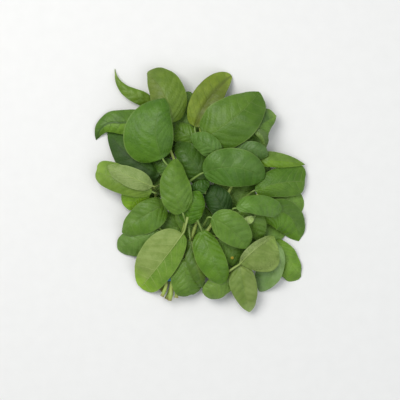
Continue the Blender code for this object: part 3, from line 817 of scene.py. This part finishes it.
stalk_green = stem_finish("stalk_skin", (0.20, 0.30, 0.065), (0.14, 0.25, 0.04), 0.1)
pale_stalk = stem_finish("pale_stalk_skin", (0.31, 0.40, 0.11), (0.24, 0.34, 0.07), 0.05)
HIDDEN_ROWS = 56
HIDDEN_COLUMNS = 25
PALE_VEIN = (0.24, 0.33, 0.09)
BACK_VEIN = (0.30, 0.38, 0.13)
pale_back = leaf_finish(
    "pale_leaf_back", (0.19, 0.28, 0.08), (0.17, 0.26, 0.07), (0.22, 0.31, 0.09), BACK_VEIN, 0.7,
    1.0, 0.6
)
hidden_upper = leaf_finish(
    "shaded_leaf_upper", (0.145, 0.28, 0.035), (0.13, 0.26, 0.03), (0.155, 0.29, 0.035),
    PALE_VEIN, 0.3, -1.0, 0.5
)

for node in sorted(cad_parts):
    if node.startswith("under_leaf_"):
        make_leaf(node, (hidden_upper, pale_back, stalk_green), HIDDEN_ROWS, HIDDEN_COLUMNS)

# ---------------------------------------------------------------------------------------------
# The deep leaves.
# Full-grown leaves low in the pile, of which only a part is seen. Most of them are given dark
# tones that are painted shade, for the shadow they lie in under the leaves above. They are
# built like the ones on the underside, but finer, for their veins can be seen.
# ---------------------------------------------------------------------------------------------

LEAF_ROWS = 90
LEAF_COLUMNS = 37
# About half the width of a blade as a share of its length.
HALF_WIDTH = 0.3


def lay_leaf(node, left, right=None, tip=None, vein=PALE_VEIN, strength=0.22, dullness=0.44,
             midrib=0.055, **shape):
    """A leaf with its upper side up. Its tones are of its left half, right half and tip."""
    right = right or left
    upper = leaf_finish(
        f"{node}_upper", left, right, tip or right, vein, strength, -1.0, dullness, midrib
    )
    make_leaf(node, (upper, pale_back, stalk_green), LEAF_ROWS, LEAF_COLUMNS, **shape)


def add_fleck(material, place, size, colour):
    """A small faded spot on a blade, its place along and across it and its size as shares."""
    tree = bpy.data.materials[material].node_tree
    shader = tree.nodes["Principled BSDF"]
    plain = shader.inputs["Base Color"].links[0].from_socket
    across = add_node(tree, "SeparateXYZ", add_node(
        tree, "Attribute", attribute_name="leaf_vein").outputs["Vector"]).outputs[0]
    along = add_node(tree, "SeparateXYZ", add_node(
        tree, "Attribute", attribute_name="leaf_place").outputs["Vector"]).outputs[2]
    beside = maths(tree, "MULTIPLY", maths(tree, "SUBTRACT", across, place[1]), HALF_WIDTH)
    onward = maths(tree, "SUBTRACT", along, place[0])
    squares = [maths(tree, "MULTIPLY", way, way) for way in (beside, onward)]
    away = maths(tree, "SQRT", maths(tree, "ADD", *squares))
    fleck = faded(tree, away, 0.6 * size, size, 0.9, 0.0)
    tree.links.new(mixed(tree, fleck, plain, (*colour, 1.0)), shader.inputs["Base Color"])


# Its darker left half is painted shade, for the leaf lies in the shadow of the leaves above it.
lay_leaf("leaf_top_right_behind", (0.075, 0.155, 0.03), (0.13, 0.245, 0.035),
         tip=(0.18, 0.30, 0.05), tip_rounding=0.95)
# Painted shade: the dark left leaf is given a very dark tone for the shadow it lies in under the
# leaves above.
lay_leaf("leaf_dark_left", (0.028, 0.076, 0.006), (0.040, 0.108, 0.006), dullness=0.58,
         strength=0.1, tip_rounding=0.9)
lay_leaf("leaf_bright_low_left", (0.19, 0.36, 0.01), tip_rounding=0.9)
lay_leaf("leaf_bright_left", (0.15, 0.25, 0.025), (0.16, 0.265, 0.03), tip=(0.21, 0.34, 0.04),
         strength=0.35, tip_rounding=0.4)
lay_leaf("leaf_lower_left_under", (0.11, 0.215, 0.03), (0.125, 0.235, 0.04), tip_rounding=0.8)
lay_leaf("leaf_by_cut_ends", (0.11, 0.216, 0.02), tip_rounding=0.55)
lay_leaf("leaf_far_right_low", (0.158, 0.30, 0.026), tip=(0.16, 0.29, 0.033), tip_rounding=0.75)
lay_leaf("leaf_blue_green_right", (0.22, 0.35, 0.112), (0.19, 0.32, 0.10), strength=0.15)
lay_leaf("leaf_right_hanging", (0.082, 0.173, 0.016), (0.108, 0.235, 0.011), tip_rounding=0.95)
lay_leaf("leaf_right_flat", (0.076, 0.175, 0.010), (0.095, 0.203, 0.010), strength=0.4,
         vein_lean=1.9, tip_rounding=0.45)
lay_leaf("leaf_right_pointed", (0.142, 0.248, 0.032), (0.152, 0.28, 0.016), tip_rounding=0.95)
lay_leaf("leaf_grey_right", (0.087, 0.176, 0.038), (0.087, 0.176, 0.034))
lay_leaf("leaf_shaded_front", (0.085, 0.177, 0.014), strength=0.15, dullness=0.55)
add_fleck("leaf_shaded_front_upper", (0.61, -0.38), 0.045, (0.42, 0.30, 0.02))
# Painted shade: the shaded centre, the dark centre and the small centre leaf are given very dark
# tones for the shadow they lie in.
lay_leaf("leaf_shaded_centre", (0.02, 0.068, 0.004), strength=0.12, dullness=0.6)
lay_leaf("leaf_top_centre_small", (0.10, 0.205, 0.014), strength=0.15)
lay_leaf("leaf_dark_centre", (0.045, 0.112, 0.006), strength=0.15)
lay_leaf("leaf_small_left", (0.062, 0.145, 0.013), strength=0.2)
lay_leaf("leaf_small_centre", (0.035, 0.107, 0.004), strength=0.15)

# ---------------------------------------------------------------------------------------------
# The leaves of the middle layer.
# Full-grown leaves whose blades reach out past the pile. One at the far left has curled into a
# narrow pale tip, one below it is hooked, and the olive one in front has a pale tip that is
# painted light, where the light shows through the thin blade.
# ---------------------------------------------------------------------------------------------

lay_leaf("leaf_curled_far_left", (0.13, 0.228, 0.017), (0.14, 0.243, 0.021),
         tip=(0.25, 0.345, 0.09), tip_rounding=0.95)
lay_leaf("leaf_broad_top", (0.13, 0.187, 0.022), (0.125, 0.205, 0.017), tip=(0.135, 0.205, 0.028),
         strength=0.12, tip_rounding=0.85)
lay_leaf("leaf_hooked_left", (0.134, 0.262, 0.014), (0.09, 0.19, 0.014), tip=(0.05, 0.115, 0.012),
         vein=(0.03, 0.075, 0.01), strength=0.7, midrib=0.2, tip_rounding=0.95)
lay_leaf("leaf_lower_left", (0.096, 0.204, 0.013), (0.106, 0.209, 0.023), strength=0.28)
lay_leaf("leaf_narrow_front", (0.12, 0.20, 0.02), (0.08, 0.16, 0.012))
lay_leaf("leaf_front_under", (0.155, 0.267, 0.038))
# The olive leaf's pale tip is painted light, for the light shining through the thin blade there.
lay_leaf("leaf_olive_front", (0.198, 0.279, 0.058), (0.172, 0.257, 0.05), tip=(0.33, 0.44, 0.15),
         strength=0.15, tip_rounding=0.95)
lay_leaf("leaf_under_light_right", (0.107, 0.212, 0.02))

# ---------------------------------------------------------------------------------------------
# The young leaves.
# Softer leaves from the tips of the stems, most of them small, brighter and less puckered. The
# one at the top stands half folded, like a boat; its far half is darker with painted shade, and
# a dark brownish band along its folded midrib is the painted shade in the fold.
# ---------------------------------------------------------------------------------------------

lay_leaf("young_leaf_top_right", (0.085, 0.15, 0.03), (0.13, 0.215, 0.04), pucker=0.5)
# Its right half's darker tone is painted shade, for that half of the fold faces away from the
# light; the wide dark midrib band is the painted shade in the fold.
lay_leaf("young_leaf_boat_top", (0.19, 0.265, 0.02), (0.138, 0.185, 0.02), tip=(0.25, 0.34, 0.04),
         vein=(0.085, 0.105, 0.022), strength=0.5, midrib=0.32, pucker=0.5, tip_rounding=0.6)
lay_leaf("young_leaf_centre", (0.075, 0.19, 0.002), pucker=0.6)
lay_leaf("young_leaf_right", (0.50, 0.66, 0.24), pucker=0.5)

# ---------------------------------------------------------------------------------------------
# The leaves that lie turned over.
# Three leaves show their undersides: paler and duller green, with the midrib and the side veins
# standing proud in pale yellow-green.
# ---------------------------------------------------------------------------------------------


def turn_leaf(node, left, right, tip, vein, strength, **shape):
    """A leaf with its underside up."""
    back = leaf_finish(f"{node}_back", left, right, tip, vein, strength, 1.0, 0.58)
    make_leaf(node, (hidden_upper, back, pale_stalk), LEAF_ROWS, LEAF_COLUMNS, veins_up=True,
              **shape)


turn_leaf("turned_leaf_narrow_left", (0.217, 0.30, 0.083), (0.227, 0.317, 0.09), (0.22, 0.32, 0.08),
          (0.33, 0.40, 0.17), 0.7, vein_lean=3.4, rib_girth=0.6)
turn_leaf("turned_leaf_oval_right", (0.27, 0.35, 0.12), (0.22, 0.31, 0.07), (0.26, 0.38, 0.08),
          (0.13, 0.18, 0.035), 0.42, vein_lean=1.6, rib_girth=0.7,
          tip_rounding=0.45)
# Its bright yellow-green tip is painted light, for the light shining through the thin blade there.
turn_leaf("turned_leaf_big_front", (0.14, 0.265, 0.02), (0.225, 0.31, 0.072), (0.27, 0.46, 0.03),
          (0.30, 0.39, 0.11), 0.8, rib_girth=0.9, tip_rounding=0.55)

# ---------------------------------------------------------------------------------------------
# The leaves on top of the pile.
# Eight large leaves lie uppermost, with their upper sides to the light. They are domed between
# the side veins, and satin rather than glossy.
# ---------------------------------------------------------------------------------------------

lay_leaf("leaf_large_top_right", (0.098, 0.194, 0.016), (0.075, 0.163, 0.011), tip_rounding=1.0)
lay_leaf("leaf_sage_centre", (0.095, 0.198, 0.03))
lay_leaf("leaf_dome_left", (0.075, 0.18, 0.006), (0.066, 0.163, 0.007), strength=0.15,
         tip_rounding=0.95)
lay_leaf("leaf_light_right", (0.11, 0.23, 0.027), tip_rounding=0.85)
lay_leaf("leaf_bright_centre_right", (0.115, 0.228, 0.025), tip_rounding=0.8)
lay_leaf("leaf_centre_right", (0.083, 0.182, 0.021), (0.071, 0.172, 0.014))
lay_leaf("leaf_centre_left", (0.105, 0.21, 0.018), tip_rounding=0.85)
lay_leaf("leaf_bright_front", (0.099, 0.214, 0.010))
